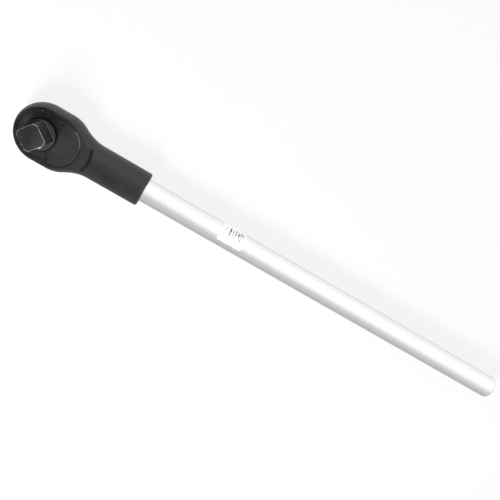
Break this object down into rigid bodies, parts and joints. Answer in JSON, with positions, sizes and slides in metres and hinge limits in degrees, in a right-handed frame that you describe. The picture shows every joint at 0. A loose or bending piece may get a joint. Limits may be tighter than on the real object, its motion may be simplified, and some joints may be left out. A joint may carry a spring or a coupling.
{
  "type": "reversible ratchet wrench",
  "caption": "Pear-head reversible ratchet with a large drive square, a two-lobe cover, a direction lever on its back and a tubular handle held in a collar.",
  "frame": {"origin": "on the drive axis, at the shoulder where a socket seats", "axes": "+X along the handle towards its free end, +Z towards the tip of the drive square"},
  "size_m": [0.5116, 0.0528, 0.053],
  "materials": {
    "black_phosphate": "satin, phosphated forging",
    "dark_steel": "satin, oiled",
    "bright_steel": "satin",
    "polished_steel": "polished",
    "zinc_screw": "satin",
    "tube_chrome": "satin plated",
    "black_rubber": "matt",
    "label_paper": "matt",
    "spring_steel": "satin"
  },
  "bodies": {
    "head": {"ratchet_head": "black_phosphate", "cover_plate": "black_phosphate", "cover_screws": "zinc_screw", "drive_seal": "black_rubber", "thrust_washer": "bright_steel", "pawl_pin": "bright_steel", "handle_tube": "tube_chrome", "end_plug": "tube_chrome", "handle_set_screw": "zinc_screw", "handle_label": "label_paper"},
    "drive": {"drive_gear": "dark_steel", "drive_ball_spring": "spring_steel"},
    "detent": {"drive_ball": "polished_steel"},
    "rocker": {"pawl": "dark_steel"},
    "selector": {"selector_shaft": "dark_steel", "selector_seal": "black_rubber", "selector_lever": "black_phosphate", "lever_screw": "zinc_screw", "pawl_spring": "spring_steel"},
    "plunger": {"pawl_plunger": "bright_steel"}
  },
  "joints": [
    {"name": "drive_spin", "type": "hinge", "parent": "head", "child": "drive", "pos_m": [0, 0, 0], "axis": [0, 0, 1], "continuous": true},
    {"name": "drive_ball_press", "type": "slide", "parent": "drive", "child": "detent", "axis": [-0.788, 0.6157, 0], "range_m": [0, 0.0012], "stiffness_N_per_m": 3000, "springref_m": -0.001, "deforming": ["drive_ball_spring"]},
    {"name": "direction_lever", "type": "hinge", "parent": "head", "child": "selector", "pos_m": [0.0299, 0, -0.026], "axis": [0, 0, 1], "range_deg": [0, 44]},
    {"name": "pawl_rock", "type": "hinge", "parent": "head", "child": "rocker", "pos_m": [0.0222, 0, -0.015], "axis": [0, 0, 1], "range_deg": [-7.65, 0.05]},
    {"name": "plunger_press", "type": "slide", "parent": "selector", "child": "plunger", "axis": [0.9272, -0.3746, 0], "range_m": [0, 0.0006], "stiffness_N_per_m": 400, "springref_m": -0.001, "deforming": ["pawl_spring"]}
  ],
  "couplings": [
    {"joint": "pawl_rock", "follows": "direction_lever", "ratio": -0.17273}
  ]
}
